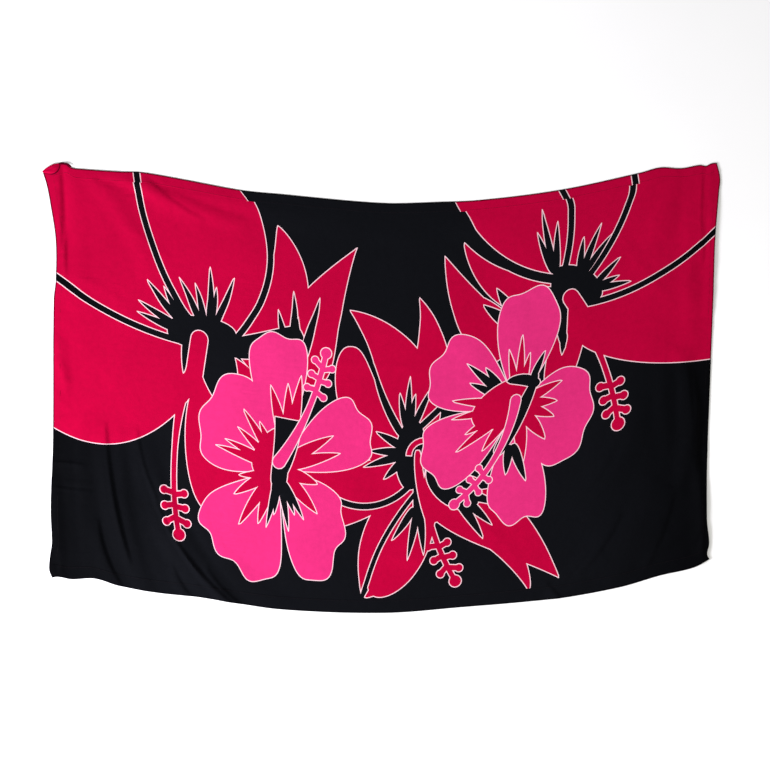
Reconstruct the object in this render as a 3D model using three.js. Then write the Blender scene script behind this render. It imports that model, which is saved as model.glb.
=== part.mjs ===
// A rayon sarong laid out flat: one hemmed rectangle of cloth whose long edges sag in the middle.
// Millimetres, +Z up. X runs along the long edges, +Y towards the top edge, and the cloth lies on z = 0.
import * as THREE from "three";

// ---- Driving sizes ----
const CUT_WIDTH = 1800;
const CUT_HEIGHT = 1100;
const PANEL_WALL = 1.2;
const HEM_WALL = 2.0;
const SEAM_GAP = 0.3;
const TOP_HEM = 27;
const BOTTOM_HEM = 35;
const LEFT_HEM = 21;
const RIGHT_HEM = 14;

// ---- Grid: columns are closer together near the two short edges, where the folds are ----
const COLUMNS = 58;
const ROWS = 34;
const END_CROWDING = 0.38;
const HEM_STEPS = 2;

// ---- The turned-over top left corner ----
const CORNER_TIP = { x: -907, y: 576 };
const CORNER_ROOT = { x: -860, y: 595 };
const CORNER_OUTER_WIDTH = 9;
const CORNER_INNER_WIDTH = 15;
const CORNER_ARCH = 7;
const CORNER_WALL = 1.6;
const CORNER_BLUNT_SHARE = 0.04;
const CORNER_ROUNDNESS = 0.7;
const CORNER_LONG_STEPS = 10;
const CORNER_CROSS_STEPS = 8;

// ---- The outline, edge by edge: where the hemmed edge lies, from one corner to the next ----
const TOP_EDGE = [
  { x: -904, y: 576 },
  { x: -885, y: 592 },
  { x: -866, y: 599 },
  { x: -849, y: 603 },
  { x: -829, y: 589 },
  { x: -798, y: 585 },
  { x: -698, y: 578 },
  { x: -645, y: 577 },
  { x: -538, y: 559 },
  { x: -377, y: 529 },
  { x: -270, y: 518 },
  { x: 5, y: 494 },
  { x: 158, y: 497 },
  { x: 265, y: 502 },
  { x: 479, y: 529 },
  { x: 693, y: 575 },
  { x: 746, y: 589 },
  { x: 802, y: 587 },
  { x: 856, y: 596 },
  { x: 866, y: 592 },
  { x: 883, y: 600 },
  { x: 898, y: 601 },
];
const BOTTOM_EDGE = [
  { x: -879, y: -508 },
  { x: -865, y: -505 },
  { x: -827, y: -512 },
  { x: -765, y: -510 },
  { x: -698, y: -530 },
  { x: -591, y: -549 },
  { x: -484, y: -560 },
  { x: -270, y: -592 },
  { x: 5, y: -602 },
  { x: 211, y: -587 },
  { x: 479, y: -562 },
  { x: 639, y: -533 },
  { x: 746, y: -502 },
  { x: 835, y: -481 },
  { x: 878, y: -458 },
];
const LEFT_EDGE = [
  { y: -508, x: -879 },
  { y: -487, x: -887 },
  { y: -450, x: -885 },
  { y: -415, x: -880 },
  { y: -327, x: -883 },
  { y: -140, x: -877 },
  { y: 235, x: -875 },
  { y: 288, x: -869 },
  { y: 395, x: -869 },
  { y: 502, x: -885 },
  { y: 545, x: -894 },
  { y: 576, x: -904 },
];
const RIGHT_EDGE = [
  { y: -458, x: 878 },
  { y: -446, x: 871 },
  { y: -415, x: 877 },
  { y: -354, x: 871 },
  { y: -193, x: 872 },
  { y: 21, x: 880 },
  { y: 235, x: 888 },
  { y: 395, x: 893 },
  { y: 529, x: 904 },
  { y: 560, x: 907 },
  { y: 601, x: 898 },
];

// ---- The largest folds: soft ridges along a bowed line, each with its half width and height ----
const FOLDS = [
  // the fan from the top left corner
  { fromX: -868, fromY: 640, toX: -846, toY: 250, bow: 6, reach: 26, rise: 9 },
  { fromX: -822, fromY: 640, toX: -800, toY: 205, bow: 12, reach: 34, rise: 7 },
  { fromX: -800, fromY: 600, toX: -612, toY: 300, bow: 20, reach: 40, rise: 5 },
  { fromX: -770, fromY: 600, toX: -560, toY: 470, bow: 10, reach: 32, rise: 7 },
  { fromX: -640, fromY: 560, toX: -350, toY: 430, bow: -12, reach: 36, rise: 6 },
  { fromX: -560, fromY: 520, toX: -180, toY: 440, bow: 14, reach: 44, rise: 4 },
  // down the left edge
  { fromX: -868, fromY: 150, toX: -850, toY: -60, bow: 8, reach: 26, rise: 5 },
  { fromX: -876, fromY: -230, toX: -862, toY: -540, bow: 5, reach: 24, rise: 7 },
  // the long hanging folds at the lower left
  { fromX: -790, fromY: -60, toX: -745, toY: -560, bow: -26, reach: 50, rise: 6 },
  { fromX: -700, fromY: -110, toX: -610, toY: -585, bow: -34, reach: 40, rise: 10 },
  { fromX: -640, fromY: -120, toX: -350, toY: -610, bow: -52, reach: 44, rise: 9 },
  { fromX: -500, fromY: -330, toX: -210, toY: -615, bow: -40, reach: 48, rise: 5 },
  // across the middle
  { fromX: -260, fromY: 470, toX: 300, toY: 455, bow: -30, reach: 60, rise: 3 },
  { fromX: -150, fromY: -520, toX: 330, toY: -505, bow: -30, reach: 60, rise: 3 },
  { fromX: 425, fromY: -590, toX: 600, toY: -440, bow: -14, reach: 38, rise: 6 },
  { fromX: 700, fromY: -20, toX: 520, toY: -340, bow: 24, reach: 60, rise: 4 },
  { fromX: 720, fromY: -280, toX: 560, toY: -500, bow: 20, reach: 50, rise: 5 },
  // down the right edge
  { fromX: 884, fromY: 640, toX: 876, toY: 190, bow: 8, reach: 22, rise: 9 },
  { fromX: 846, fromY: 640, toX: 826, toY: 120, bow: -8, reach: 30, rise: 6 },
  { fromX: 790, fromY: 600, toX: 700, toY: 340, bow: 16, reach: 44, rise: 4 },
  { fromX: 806, fromY: 80, toX: 822, toY: -230, bow: 14, reach: 30, rise: 7 },
  { fromX: 756, fromY: 70, toX: 772, toY: -190, bow: -10, reach: 32, rise: 5 },
  { fromX: 862, fromY: -30, toX: 800, toY: -300, bow: -16, reach: 26, rise: 5 },
  { fromX: 850, fromY: -200, toX: 868, toY: -490, bow: 6, reach: 26, rise: 7 },
];

// ---- Smooth curve through the rows of an edge table ----

// The slope at each row, from its two neighbours.
function rowSlopes(rows, along, across) {
  return rows.map((row, i) => {
    const before = rows[Math.max(i - 1, 0)];
    const after = rows[Math.min(i + 1, rows.length - 1)];
    return (after[across] - before[across]) / (after[along] - before[along]);
  });
}

// A function of one coordinate that gives the other along the edge, as cubic pieces between rows.
function edgeCurve(rows, along, across) {
  const slopes = rowSlopes(rows, along, across);
  return (place) => {
    let i = 0;
    while (i < rows.length - 2 && place > rows[i + 1][along]) i += 1;
    const start = rows[i];
    const end = rows[i + 1];
    const span = end[along] - start[along];
    const t = THREE.MathUtils.clamp((place - start[along]) / span, 0, 1);
    const keepStart = (1 + 2 * t) * (1 - t) ** 2;
    const leaveStart = t * (1 - t) ** 2 * span * slopes[i];
    const reachEnd = t ** 2 * (t - 1) * span * slopes[i + 1];
    return keepStart * start[across] + leaveStart + (1 - keepStart) * end[across] + reachEnd;
  };
}

const topY = edgeCurve(TOP_EDGE, "x", "y");
const bottomY = edgeCurve(BOTTOM_EDGE, "x", "y");
const leftX = edgeCurve(LEFT_EDGE, "y", "x");
const rightX = edgeCurve(RIGHT_EDGE, "y", "x");

// ---- The cloth's plan: u runs 0 to 1 from left to right, v runs 0 to 1 from bottom to top ----

const corner = {
  bottomLeft: BOTTOM_EDGE[0],
  bottomRight: BOTTOM_EDGE.at(-1),
  topLeft: TOP_EDGE[0],
  topRight: TOP_EDGE.at(-1),
};

function onLongEdge(start, end, edge, u) {
  const x = THREE.MathUtils.lerp(start.x, end.x, u);
  return new THREE.Vector2(x, edge(x));
}

function onShortEdge(start, end, edge, v) {
  const y = THREE.MathUtils.lerp(start.y, end.y, v);
  return new THREE.Vector2(edge(y), y);
}

// The four edges blended into one sheet, less the corners that both blends count.
function planPoint(u, v) {
  const bottom = onLongEdge(corner.bottomLeft, corner.bottomRight, bottomY, u);
  const top = onLongEdge(corner.topLeft, corner.topRight, topY, u);
  const left = onShortEdge(corner.bottomLeft, corner.topLeft, leftX, v);
  const right = onShortEdge(corner.bottomRight, corner.topRight, rightX, v);
  return new THREE.Vector2()
    .addScaledVector(bottom, 1 - v)
    .addScaledVector(top, v)
    .addScaledVector(left, 1 - u)
    .addScaledVector(right, u)
    .addScaledVector(corner.bottomLeft, -(1 - u) * (1 - v))
    .addScaledVector(corner.bottomRight, -u * (1 - v))
    .addScaledVector(corner.topLeft, -(1 - u) * v)
    .addScaledVector(corner.topRight, -u * v);
}

// ---- Folds ----

// How high one fold lifts the cloth at a point: highest along its bowed line, nothing at its ends.
function foldLift(fold, point) {
  const alongX = fold.toX - fold.fromX;
  const alongY = fold.toY - fold.fromY;
  const length = Math.hypot(alongX, alongY);
  const fromX = point.x - fold.fromX;
  const fromY = point.y - fold.fromY;
  const t = (fromX * alongX + fromY * alongY) / length ** 2;
  if (t <= 0 || t >= 1) return 0;
  const middle = 4 * t * (1 - t);
  const aside = (fromY * alongX - fromX * alongY) / length - fold.bow * middle;
  const across = Math.max(0, 1 - (aside / fold.reach) ** 2);
  return fold.rise * Math.sqrt(middle) * across ** 2;
}

function clothLift(point) {
  return FOLDS.reduce((lift, fold) => lift + foldLift(fold, point), 0);
}

// ---- Closed walls ----

// A grid of points as one closed wall: a lower and an upper skin, joined round the border.
// lowerPoint and upperPoint give the two skins' points from a column and a row number.
function closedWall(columns, rows, lowerPoint, upperPoint) {
  const positions = [];
  const across = columns + 1;
  const skinSize = across * (rows + 1);
  for (const pointAt of [lowerPoint, upperPoint]) {
    for (let row = 0; row <= rows; row += 1) {
      for (let column = 0; column <= columns; column += 1) {
        positions.push(...pointAt(column, row).toArray());
      }
    }
  }
  const lower = (column, row) => row * across + column;
  const upper = (column, row) => skinSize + lower(column, row);
  const triangles = [];
  const addQuad = (a, b, c, d) => triangles.push(a, b, c, a, c, d);
  for (let row = 0; row < rows; row += 1) {
    for (let column = 0; column < columns; column += 1) {
      const right = column + 1;
      const above = row + 1;
      addQuad(upper(column, row), upper(right, row), upper(right, above), upper(column, above));
      addQuad(lower(column, row), lower(column, above), lower(right, above), lower(right, row));
    }
  }
  for (let column = 0; column < columns; column += 1) {
    const right = column + 1;
    addQuad(lower(column, 0), lower(right, 0), upper(right, 0), upper(column, 0));
    addQuad(lower(right, rows), lower(column, rows), upper(column, rows), upper(right, rows));
  }
  for (let row = 0; row < rows; row += 1) {
    const above = row + 1;
    addQuad(lower(0, above), lower(0, row), upper(0, row), upper(0, above));
    addQuad(lower(columns, row), lower(columns, above), upper(columns, above), upper(columns, row));
  }
  const geometry = new THREE.BufferGeometry();
  geometry.setAttribute("position", new THREE.Float32BufferAttribute(positions, 3));
  geometry.setIndex(triangles);
  geometry.computeVertexNormals();
  return geometry;
}

// A stretch of the cloth between two places across and two places up, following the folds.
function clothWall(acrossPlaces, upPlaces, thickness) {
  const skin = (offset) => (column, row) => {
    const plan = planPoint(acrossPlaces[column], upPlaces[row]);
    return new THREE.Vector3(plan.x, plan.y, clothLift(plan) + offset);
  };
  return closedWall(acrossPlaces.length - 1, upPlaces.length - 1, skin(0), skin(thickness));
}

function evenPlaces(from, to, steps) {
  return Array.from({ length: steps + 1 }, (_, i) => THREE.MathUtils.lerp(from, to, i / steps));
}

// Places from one side to the other, closer together near both ends.
function crowdedPlaces(from, to, steps) {
  return evenPlaces(0, 1, steps).map((t) => {
    const crowded = t - (END_CROWDING * Math.sin(2 * Math.PI * t)) / (2 * Math.PI);
    return THREE.MathUtils.lerp(from, to, crowded);
  });
}

// ---- The turned-over corner ----

// A leaf of cloth arched over the hems below it, pointed at its tip and root and blunted there.
function cornerFold() {
  const tip = new THREE.Vector2(CORNER_TIP.x, CORNER_TIP.y);
  const root = new THREE.Vector2(CORNER_ROOT.x, CORNER_ROOT.y);
  const along = root.clone().sub(tip);
  const sideways = new THREE.Vector2(-along.y, along.x).normalize();
  const skin = (offset) => (column, row) => {
    const ends = [CORNER_BLUNT_SHARE, 1 - CORNER_BLUNT_SHARE];
    const s = THREE.MathUtils.lerp(...ends, column / CORNER_LONG_STEPS);
    const q = (2 * row) / CORNER_CROSS_STEPS - 1;
    const fullness = Math.sin(Math.PI * s) ** CORNER_ROUNDNESS;
    const halfWidth = fullness * (q > 0 ? CORNER_OUTER_WIDTH : CORNER_INNER_WIDTH);
    const plan = tip.clone().addScaledVector(along, s).addScaledVector(sideways, q * halfWidth);
    const arch = CORNER_ARCH * (1 - q ** 2) * fullness;
    const base = clothLift(plan) + HEM_WALL + SEAM_GAP;
    return new THREE.Vector3(plan.x, plan.y, base + arch + offset);
  };
  return closedWall(CORNER_LONG_STEPS, CORNER_CROSS_STEPS, skin(0), skin(CORNER_WALL));
}

// ---- The pieces ----
const halfGapAcross = SEAM_GAP / 2 / CUT_WIDTH;
const halfGapUp = SEAM_GAP / 2 / CUT_HEIGHT;
const leftSeam = LEFT_HEM / CUT_WIDTH;
const rightSeam = 1 - RIGHT_HEM / CUT_WIDTH;
const bottomSeam = BOTTOM_HEM / CUT_HEIGHT;
const topSeam = 1 - TOP_HEM / CUT_HEIGHT;

const panelAcross = crowdedPlaces(leftSeam + halfGapAcross, rightSeam - halfGapAcross, COLUMNS);
const panelUp = evenPlaces(bottomSeam + halfGapUp, topSeam - halfGapUp, ROWS);
const leftAcross = evenPlaces(0, leftSeam - halfGapAcross, HEM_STEPS);
const rightAcross = evenPlaces(rightSeam + halfGapAcross, 1, HEM_STEPS);
// The long hems bend at the same places as the panel and the side hems, so the seams stay even.
const wholeAcross = [...leftAcross, ...panelAcross.slice(1, -1), ...rightAcross];

const crimson = new THREE.MeshStandardMaterial({ color: 0xb80a35, roughness: 0.72, metalness: 0 });
const black = new THREE.MeshStandardMaterial({ color: 0x151519, roughness: 0.78, metalness: 0 });

const PIECES = [
  { name: "body_panel", material: crimson, geometry: clothWall(panelAcross, panelUp, PANEL_WALL) },
  {
    name: "hem_top",
    material: crimson,
    geometry: clothWall(wholeAcross, evenPlaces(topSeam + halfGapUp, 1, HEM_STEPS), HEM_WALL),
  },
  {
    name: "hem_bottom",
    material: black,
    geometry: clothWall(wholeAcross, evenPlaces(0, bottomSeam - halfGapUp, HEM_STEPS), HEM_WALL),
  },
  { name: "hem_left", material: crimson, geometry: clothWall(leftAcross, panelUp, HEM_WALL) },
  { name: "hem_right", material: crimson, geometry: clothWall(rightAcross, panelUp, HEM_WALL) },
  { name: "corner_fold", material: crimson, geometry: cornerFold() },
];

const sarong = new THREE.Group();
for (const { name, material, geometry } of PIECES) {
  const piece = new THREE.Mesh(geometry, material);
  piece.name = name;
  sarong.add(piece);
}

// The origin is the middle of the whole cloth's box, at the level that it lies on.
const box = new THREE.Box3().setFromObject(sarong, true);
const middle = box.getCenter(new THREE.Vector3());
for (const piece of sarong.children) piece.position.set(-middle.x, -middle.y, -box.min.z);

export default sarong;
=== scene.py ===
"""A printed rayon sarong laid flat: its cloth, hems, turned corner and stitching, and the studio.

The tables are in millimetres; Blender works in metres.
"""

import math

import bpy
import numpy as np
from mathutils.geometry import delaunay_2d_cdt
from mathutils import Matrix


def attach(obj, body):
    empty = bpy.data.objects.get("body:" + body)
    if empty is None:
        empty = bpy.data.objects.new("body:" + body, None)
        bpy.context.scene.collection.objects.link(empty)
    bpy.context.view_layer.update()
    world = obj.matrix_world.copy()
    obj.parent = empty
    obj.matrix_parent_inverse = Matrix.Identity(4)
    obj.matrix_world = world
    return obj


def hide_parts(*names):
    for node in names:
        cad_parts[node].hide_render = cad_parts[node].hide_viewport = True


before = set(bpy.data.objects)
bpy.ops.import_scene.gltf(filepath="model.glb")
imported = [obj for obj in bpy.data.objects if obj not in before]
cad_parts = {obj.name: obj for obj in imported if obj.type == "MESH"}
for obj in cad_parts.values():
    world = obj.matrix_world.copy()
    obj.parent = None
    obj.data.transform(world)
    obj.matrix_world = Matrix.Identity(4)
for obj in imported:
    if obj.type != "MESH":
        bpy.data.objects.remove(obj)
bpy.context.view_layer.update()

MM = 0.001
CUT_WIDTH = 1800
CUT_HEIGHT = 1100
HALF_WIDTH = CUT_WIDTH / 2
HALF_HEIGHT = CUT_HEIGHT / 2
CENTRING = (-0.191, 0.574)  # moves the table's own zero to the middle of the laid-out cloth
TOP_HEM = 27
BOTTOM_HEM = 35
LEFT_HEM = 21
RIGHT_HEM = 14
HIDDEN_TURNING = 40  # cloth taken up behind each long hem's seam, so that the print jogs there
CLOTH_WALL = 0.8
BAND_LIFT = 0.9  # the long hems' bands lie on the panel's edge
BAND_WALL = 0.9

# ---- The laid-out edges, corner to corner, as in the solids ----
TOP_EDGE = [(-904, 576), (-885, 592), (-866, 599), (-849, 603), (-829, 589), (-798, 585), (-698, 578),
            (-645, 577), (-538, 559), (-377, 529), (-270, 518), (5, 494), (158, 497), (265, 502),
            (479, 529), (693, 575), (746, 589), (802, 587), (856, 596), (866, 592), (883, 600),
            (898, 601)]
BOTTOM_EDGE = [(-879, -508), (-865, -505), (-827, -512), (-765, -510), (-698, -530), (-591, -549),
               (-484, -560), (-270, -592), (5, -602), (211, -587), (479, -562), (639, -533),
               (746, -502), (835, -481), (878, -458)]
LEFT_EDGE = [(-508, -879), (-487, -887), (-450, -885), (-415, -880), (-327, -883), (-140, -877),
             (235, -875), (288, -869), (395, -869), (502, -885), (545, -894), (576, -904)]
RIGHT_EDGE = [(-458, 878), (-446, 871), (-415, 877), (-354, 871), (-193, 872), (21, 880), (235, 888),
              (395, 893), (529, 904), (560, 907), (601, 898)]

# ---- Folds: from x, from y, to x, to y, bow, reach, rise ----
MAIN_FOLDS = [
    (-888, 640, -868, 250, 6, 30, 5.5), (-834, 640, -812, 205, 12, 38, 3.5),
    (-800, 600, -612, 300, 20, 40, 5), (-770, 600, -560, 470, 10, 32, 7),
    (-640, 560, -350, 430, -12, 36, 6), (-560, 520, -180, 440, 14, 44, 4),
    (-868, 150, -850, -60, 8, 26, 5), (-876, -230, -862, -540, 5, 24, 7),
    (-790, -60, -745, -560, -26, 50, 6), (-700, -110, -610, -585, -34, 40, 10),
    (-640, -120, -350, -610, -52, 44, 9), (-500, -330, -210, -615, -40, 48, 5),
    (-260, 470, 300, 455, -30, 60, 3), (-150, -520, 330, -505, -30, 60, 3),
    (425, -590, 600, -440, -14, 38, 6), (700, -20, 520, -340, 24, 60, 6),
    (740, -240, 590, -520, 20, 60, 8), (884, 640, 876, 190, 8, 24, 6),
    (846, 640, 826, 120, -8, 34, 4), (790, 600, 700, 340, 16, 44, 4),
    (800, 110, 812, -260, 14, 44, 12), (756, 70, 772, -190, -10, 32, 5),
    (862, -30, 800, -300, -16, 26, 5), (850, -200, 868, -490, 6, 26, 7),
]
SMALL_CREASES = [
    # sharp troughs between the hanging folds, lower left
    (-715, -110, -650, -500, -16, 14, -3), (-655, -150, -410, -600, -40, 13, -3),
    (-560, -250, -330, -600, -30, 16, -2), (-820, -120, -800, -480, -8, 15, -2),
    (-600, -200, -470, -520, -22, 12, 2), (-745, -180, -700, -470, -10, 12, 1.6),
    # down the left edge
    (-852, 600, -848, 380, 3, 10, -4), (-842, 420, -838, 250, -4, 9, 2.5),
    (-625, 560, -360, 460, -8, 13, -2.5), (-765, 560, -600, 490, 6, 10, -2.5),
    (-870, 80, -835, 0, 4, 8, 3), (-872, 20, -842, -40, 3, 7, -2.5),
    (-880, -200, -760, -215, 5, 8, 2), (-885, -245, -740, -258, -6, 8, 2.2),
    (-885, -290, -780, -300, 4, 7, 1.8), (-880, -400, -866, -500, 3, 8, -4),
    (-820, 300, -700, 230, 6, 16, 1.6), (-700, 440, -560, 330, 8, 18, 1.5),
    # across the middle, with the ironed line down the centre
    (5, 520, 5, -620, 0, 5, 0.7), (-190, 60, 120, 40, 14, 16, 1), (-420, -260, -180, -285, -6, 9, 0.9),
    (120, 20, 330, 15, 8, 9, 0.9), (300, 260, 460, 250, -5, 9, 0.9), (-120, 400, 260, 330, 30, 40, 1.2),
    (-60, -430, 260, -470, -12, 26, 1.4), (160, -300, 380, -480, 20, 22, 1.4),
    # down the right edge
    (786, 60, 792, -120, 4, 12, -3.5), (828, 70, 838, -90, 0, 10, -3),
    (800, -170, 870, -130, -6, 12, 2.6), (650, -120, 540, -300, 14, 14, -2),
    (893, 600, 888, 460, 2, 8, -3.5), (868, 600, 862, 380, -3, 8, -3),
    (410, -560, 480, -500, -4, 12, -2.6), (560, -420, 470, -520, 6, 12, 1.8),
    (640, 420, 760, 250, -10, 22, 1.4), (840, -330, 700, -470, 10, 16, 2),
    (880, -320, 830, -440, 6, 10, -2),
]
# Folds that fall away sharply on one side: the same columns, with the short side's reach at the end
STEEP_FOLDS = [
    (-740, -90, -672, -470, -14, 46, 9, 12), (-655, -110, -600, -300, -10, 40, 6, 11),
    (-610, -290, -372, -600, -30, 54, 10, 12), (-760, -350, -690, -540, -14, 36, 7, 11),
    (-470, -480, -330, -610, -14, 34, 5, 10), (-560, -470, -500, -570, -8, 26, 4, 9),
    (826, 60, 838, -230, 10, 40, 6, 12), (846, -180, 856, -480, 4, 34, 7, 11),
    (780, -260, 700, -480, 10, 46, 5, 18), (640, -330, 520, -500, 10, 40, 4, 14),
    (-860, 590, -850, 300, 6, 24, 4, 10), (-640, 565, -470, 440, -10, 34, 4, 16),
    (440, -520, 500, -580, -4, 26, 4, 9), (866, 590, 858, 330, 0, 22, 4, 9),
    (-885, -200, -790, -212, 4, 16, 2.6, 6), (-885, -262, -770, -275, -4, 16, 2.6, 6),
]

# ---- The print: hibiscus flowers on the flat cut, in millimetres and degrees, X to the right, Y up ----
LINE_HALF = 1.2  # half the width of the pale resist lines
BLADE_SPACING = 7.0  # between the points of an outline
PETAL_SPACING = 6.0
STALK_SPACING = 5.0
TONGUE_HALF = (10, 18)  # the least and most half width of a fan's tongue
KNOB_PITCH = 31  # from one pair of knobs to the next along a stalk
KNOB_STAGGER = 5  # from one knob of a pair to the other, along the stalk
DYES = {  # linear colours of the dyed cloth, and one of painted shade
    "black": (0.0032, 0.0035, 0.0047),
    "crimson": (0.345, 0.0003, 0.027),
    "pink": (0.535, 0.02, 0.136),
    "line": (0.66, 0.45, 0.49),
    "shade": (0.055, 0.0003, 0.007),  # painted shade: dark crimson that stands for the shadow inside cloth rolled under
}
DYE_ORDER = list(DYES)


def beside(*columns):
    """The columns side by side in one array."""
    return np.column_stack(columns)


def within(points, low, high):
    return np.all((points > low) & (points < high), axis=1)


def left_of(way):
    """Directions turned a quarter to the left."""
    return np.stack([-way[..., 1], way[..., 0]], axis=-1)


def cubic_through(places, rows, wanted):
    """Values at the wanted places of smooth cubic pieces through the rows."""
    rows = np.asarray(rows, float)
    count = len(places)
    before = np.maximum(np.arange(count) - 1, 0)
    after = np.minimum(np.arange(count) + 1, count - 1)
    slopes = (rows[after] - rows[before]) / (places[after] - places[before])[:, None]
    i = np.clip(np.searchsorted(places, wanted, side="left") - 1, 0, count - 2)
    span = places[i + 1] - places[i]
    t = np.clip((wanted - places[i]) / span, 0, 1)[:, None]
    keep = (1 + 2 * t) * (1 - t) ** 2
    leave = t * (1 - t) ** 2 * span[:, None] * slopes[i]
    reach = t ** 2 * (t - 1) * span[:, None] * slopes[i + 1]
    return keep * rows[i] + leave + (1 - keep) * rows[i + 1] + reach


def spaced(outline, spacing):
    """A closed outline with its points near the spacing apart, sharp corners kept."""
    kept = [outline[0]]
    for point in outline[1:]:
        if np.hypot(*(point - kept[-1])) >= spacing * 0.7:
            kept.append(point)
    result = []
    for start, end in zip(kept, kept[1:] + kept[:1]):
        steps = max(1, int(round(np.hypot(*(end - start)) / spacing)))
        result += [start + (end - start) * k / steps for k in range(steps)]
    return np.array(result)


def arc(x, y, heading, bend, length, shares):
    """Points and directions on an arc that leaves x, y at a heading and turns by the bend."""
    turn = math.radians(bend) or 1e-6
    first = math.radians(heading)
    way = first + turn * shares
    size = length / turn
    points = beside(x + size * (np.sin(way) - math.sin(first)), y - size * (np.cos(way) - math.cos(first)))
    return points, beside(np.cos(way), np.sin(way))


def point_count(length):
    """How many points an arc of this length is worked out at."""
    return max(12, int(length / 8))


def blade(x, y, heading, bend, length, half, root=0.0, point=0.0, round_head=False):
    """A shape along an arc. Root and point say how slowly its ends open and close; a band has neither."""
    t = (1 - np.cos(np.linspace(0, math.pi, point_count(length)))) / 2
    middle, way = arc(x, y, heading, bend, length, t)
    head = np.sqrt(1 - np.clip(1 - t * length / half, 0, 1) ** 2) if round_head else 1
    best = root / max(root + point, 1e-9)
    peak = best ** root * (1 - best) ** point
    width = half * head * t ** root * (1 - t) ** point / peak
    aside = left_of(way) * width[:, None]
    return spaced(np.concatenate([middle - aside, (middle + aside)[::-1]]), BLADE_SPACING)


def blades(rows):
    return [blade(*row) for row in rows]


def fans(rows):
    """Uneven pointed tongues side by side: x, y, from heading, to heading, count, inner, outer, sway."""
    result = []
    for x, y, start, stop, count, inner, outer, sway in rows:
        step = abs(stop - start) / max(count - 1, 1)
        half = float(np.clip(math.radians(step) * inner * 0.62, *TONGUE_HALF))
        for number in range(count):
            heading = start + (stop - start) * number / max(count - 1, 1)
            heading += 3 * math.sin(4.1 * number + x)
            length = outer * (1 + 0.16 * math.sin(2.6 * number + start))
            near = inner * 0.35
            away = math.radians(heading)
            result.append(blade(x + near * math.cos(away), y + near * math.sin(away), heading, sway,
                                length - near, half, 0.35, 0.85))
    return result


def petals(x, y, rows):
    """Ruffled petals round a centre: angle, spread, length, lean, bluntness, ruffles, depth, phase."""
    result = []
    s = np.sin(np.linspace(-math.pi / 2, math.pi / 2, 90))
    for angle, spread, length, lean, blunt, ruffles, depth, phase in rows:
        around = np.radians(angle + spread * s)
        ruffle = 1 + depth * np.sin(ruffles * math.pi * s + phase) * (1 - s ** 4)
        reach = length * (1 + lean * s) * (1 - np.abs(s) ** blunt) ** (1.7 / blunt) * ruffle
        outline = beside(x + reach * np.cos(around), y + reach * np.sin(around))
        result.append(spaced(outline, PETAL_SPACING))
    return result


def knob(start, end, neck, radius):
    """A round knob on a short neck that leaves the stalk."""
    way = (end - start) / np.hypot(*(end - start))
    aside = left_of(way)
    open_angle = math.asin(min(neck / radius, 1))
    around = np.linspace(math.pi - open_angle, -math.pi + open_angle, 14)
    circle = end + radius * (np.outer(np.cos(around), way) + np.outer(np.sin(around), aside))
    return np.concatenate([[start - aside * neck, start + aside * neck], circle])


def columns(rows):
    """Stalks with knobs: x, y, heading, bend, length, root half, tip half, pairs, reach, knob radius."""
    result = []
    for x, y, heading, bend, length, root, tip, pairs, reach, radius in rows:
        shares = np.linspace(0, 1, point_count(length))
        middle, way = arc(x, y, heading, bend, length, shares)
        normal = left_of(way)
        half = tip + (root - tip) * np.clip(1 - shares * 1.7, 0, 1) ** 1.3
        round_root = [middle[0] - way[0] * root * math.cos(a) - normal[0] * root * math.sin(a)
                      for a in np.linspace(-math.pi / 2, math.pi / 2, 7)[1:-1]]
        aside = normal * half[:, None]
        stalk = np.concatenate([middle - aside, (middle + aside)[::-1], round_root])
        result.append(spaced(stalk, STALK_SPACING))
        first = length - (pairs - 0.15) * KNOB_PITCH
        for number in range(2 * pairs):
            side = 1 if number % 2 else -1
            place = (first + KNOB_PITCH * (number // 2) + KNOB_STAGGER * (number % 2)) / length
            spot, along = arc(x, y, heading, bend, length, np.array([place]))
            across = left_of(along[0]) * side
            lean = -0.3 + 0.9 * number / (2 * pairs - 1)
            far = spot[0] + (across + lean * along[0]) * reach
            result.append(knob(spot[0], far, radius * 0.75, radius))
        end = middle[-1] + way[-1] * radius * 1.9
        result.append(knob(middle[-1] - way[-1] * radius, end, tip, radius * 1.5))
    return result


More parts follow.
